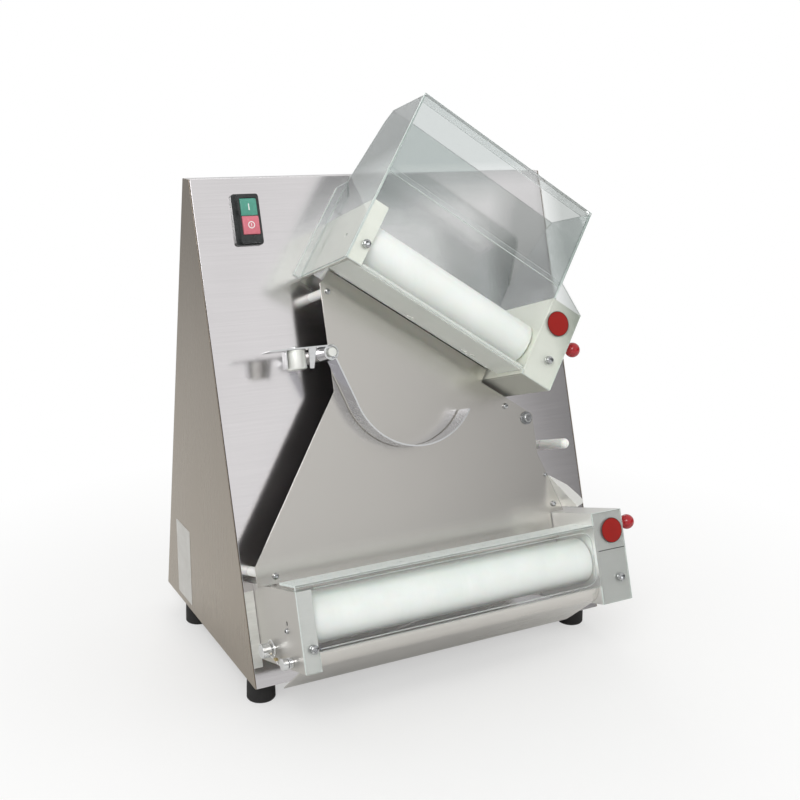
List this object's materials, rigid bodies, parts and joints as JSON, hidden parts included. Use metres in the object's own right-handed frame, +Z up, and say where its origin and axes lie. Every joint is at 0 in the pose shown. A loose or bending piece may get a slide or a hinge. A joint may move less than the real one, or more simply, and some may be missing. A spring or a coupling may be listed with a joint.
{
  "type": "pizza forming machine",
  "caption": "Inclined dough sheeter: a leaning steel cabinet with an askew upper roller unit under a clear hopper, a slide plate and a wide guarded lower roller unit.",
  "frame": {"origin": "middle of the machine's bounding box, on the surface that its feet stand on", "axes": "+Z up, -Y towards the user in front of the sloped face, +X to the user's right"},
  "size_m": [0.5338, 0.4996, 0.7535],
  "materials": {
    "cabinet_steel": "brushed",
    "polished_steel": "polished",
    "machined_steel": "machined",
    "aluminium": "satin",
    "white_nylon": "satin",
    "clear_plastic": "clear",
    "black_rubber": "matt",
    "black_plastic": "matt",
    "green_plastic": "gloss",
    "red_plastic": "gloss",
    "red_knob_plastic": "gloss",
    "motor_paint": "satin"
  },
  "bodies": {
    "cabinet": {"face_plate": "cabinet_steel", "left_side_panel": "cabinet_steel", "right_side_panel": "cabinet_steel", "base_plate": "cabinet_steel", "back_cover": "cabinet_steel", "cable_gland": "black_plastic", "front_left_foot": "black_rubber", "front_right_foot": "black_rubber", "back_left_foot": "black_rubber", "back_right_foot": "black_rubber", "switch_housing": "black_plastic", "upper_left_cheek": "cabinet_steel", "upper_right_cheek": "cabinet_steel", "upper_gear_cover": "cabinet_steel", "upper_scraper": "polished_steel", "upper_hopper": "clear_plastic", "upper_under_guard": "clear_plastic", "lower_left_cheek": "cabinet_steel", "lower_right_cheek": "cabinet_steel", "lower_gear_cover": "cabinet_steel", "lower_scraper": "polished_steel", "lower_guard": "clear_plastic", "lower_tray": "polished_steel", "lock_stud": "machined_steel", "slide_plate": "cabinet_steel", "slide_fin": "polished_steel", "upper_left_post": "white_nylon", "lower_left_post": "white_nylon", "right_post": "white_nylon", "guide_pin": "white_nylon", "arm_pivot_post": "machined_steel", "gear_motor": "motor_paint", "motor_bracket": "machined_steel", "countershaft_bracket": "machined_steel", "lower_drive_belt": "black_rubber", "riser_belt": "black_rubber", "upper_drive_belt": "black_rubber"},
    "lower_back_rotor": {"lower_back_roller": "white_nylon", "lower_gear_pulley": "machined_steel"},
    "lower_gap_blocks": {"lower_left_bearing_block": "aluminium", "lower_right_bearing_block": "aluminium"},
    "lower_front_rotor": {"lower_front_roller": "white_nylon", "lower_front_gear": "machined_steel"},
    "lower_gap_lever_body": {"lower_gap_lever": "machined_steel"},
    "lower_gap_knob_body": {"lower_gap_knob": "red_knob_plastic"},
    "upper_back_rotor": {"upper_back_roller": "white_nylon", "upper_gear_pulley": "machined_steel"},
    "upper_gap_blocks": {"upper_left_bearing_block": "aluminium", "upper_right_bearing_block": "aluminium"},
    "upper_front_rotor": {"upper_front_roller": "white_nylon", "upper_front_gear": "machined_steel"},
    "upper_gap_lever_body": {"upper_gap_lever": "machined_steel"},
    "upper_gap_knob_body": {"upper_gap_knob": "red_knob_plastic"},
    "drive_shaft_rotor": {"drive_shaft": "machined_steel"},
    "countershaft_rotor": {"countershaft": "machined_steel"},
    "arm": {"balance_arm": "aluminium", "counterweight": "machined_steel"},
    "start_button_body": {"start_button": "green_plastic"},
    "stop_button_body": {"stop_button": "red_plastic"},
    "retaining_knob_body": {"retaining_knob": "machined_steel"}
  },
  "joints": [
    {"name": "lower_back_roller_spin", "type": "hinge", "parent": "cabinet", "child": "lower_back_rotor", "pos_m": [-0.0986, -0.13288, 0.13154], "axis": [1, 0, 0], "continuous": true},
    {"name": "lower_gap_slide", "type": "slide", "parent": "cabinet", "child": "lower_gap_blocks", "axis": [0, -0.9524, 0.305], "range_m": [-0.002, 0.002]},
    {"name": "lower_front_roller_spin", "type": "hinge", "parent": "lower_gap_blocks", "child": "lower_front_rotor", "pos_m": [-0.0986, -0.1924, 0.1506], "axis": [1, 0, 0], "continuous": true},
    {"name": "lower_gap_lever_turn", "type": "hinge", "parent": "cabinet", "child": "lower_gap_lever_body", "pos_m": [0.2014, -0.1796, 0.1906], "axis": [1, 0, 0], "range_deg": [-20, 20]},
    {"name": "lower_gap_knob_pull", "type": "slide", "parent": "lower_gap_lever_body", "child": "lower_gap_knob_body", "axis": [1, 0, 0], "range_m": [0, 0.005], "stiffness_N_per_m": 600, "springref_m": -0.003},
    {"name": "upper_back_roller_spin", "type": "hinge", "parent": "cabinet", "child": "upper_back_rotor", "pos_m": [0.01922, -0.02118, 0.48032], "axis": [0.8192, -0.1749, -0.5462], "continuous": true},
    {"name": "upper_gap_slide", "type": "slide", "parent": "cabinet", "child": "upper_gap_blocks", "axis": [0, -0.9524, 0.305], "range_m": [-0.002, 0.002]},
    {"name": "upper_front_roller_spin", "type": "hinge", "parent": "upper_gap_blocks", "child": "upper_front_rotor", "pos_m": [0.01922, -0.0807, 0.49938], "axis": [0.8192, -0.1749, -0.5462], "continuous": true},
    {"name": "upper_gap_lever_turn", "type": "hinge", "parent": "cabinet", "child": "upper_gap_lever_body", "pos_m": [0.16618, -0.09645, 0.45021], "axis": [0.8192, -0.1749, -0.5462], "range_deg": [-20, 20]},
    {"name": "upper_gap_knob_pull", "type": "slide", "parent": "upper_gap_lever_body", "child": "upper_gap_knob_body", "axis": [0.8192, -0.1749, -0.5462], "range_m": [0, 0.005], "stiffness_N_per_m": 600, "springref_m": -0.003},
    {"name": "drive_shaft_spin", "type": "hinge", "parent": "cabinet", "child": "drive_shaft_rotor", "pos_m": [0.1719, 0.04593, 0.14725], "axis": [1, 0, 0], "continuous": true},
    {"name": "countershaft_spin", "type": "hinge", "parent": "cabinet", "child": "countershaft_rotor", "pos_m": [0.1519, 0.07052, 0.35519], "axis": [1, 0, 0], "continuous": true},
    {"name": "balance_arm_swing", "type": "hinge", "parent": "cabinet", "child": "arm", "pos_m": [-0.1361, -0.06408, 0.43817], "axis": [0, -0.9524, 0.305], "range_deg": [-40, 0]},
    {"name": "start_button_press", "type": "slide", "parent": "cabinet", "child": "start_button_body", "axis": [0, 0.9524, -0.305], "range_m": [0, 0.003], "stiffness_N_per_m": 500, "springref_m": -0.002},
    {"name": "stop_button_press", "type": "slide", "parent": "cabinet", "child": "stop_button_body", "axis": [0, 0.9524, -0.305], "range_m": [0, 0.003], "stiffness_N_per_m": 500, "springref_m": -0.002},
    {"name": "retaining_knob_turn", "type": "hinge", "parent": "cabinet", "child": "retaining_knob_body", "pos_m": [-0.2586, -0.15276, 0.10063], "axis": [-1, 0, 0], "continuous": true}
  ],
  "couplings": [
    {"joint": "lower_front_roller_spin", "follows": "lower_back_roller_spin", "ratio": -1},
    {"joint": "lower_gap_lever_turn", "follows": "lower_gap_slide", "rad_per_m": -171.01},
    {"joint": "upper_front_roller_spin", "follows": "lower_back_roller_spin", "ratio": -1},
    {"joint": "upper_gap_lever_turn", "follows": "upper_gap_slide", "rad_per_m": -171.01},
    {"joint": "upper_back_roller_spin", "follows": "lower_back_roller_spin", "ratio": 1},
    {"joint": "drive_shaft_spin", "follows": "lower_back_roller_spin", "ratio": 1},
    {"joint": "countershaft_spin", "follows": "lower_back_roller_spin", "ratio": 1}
  ]
}
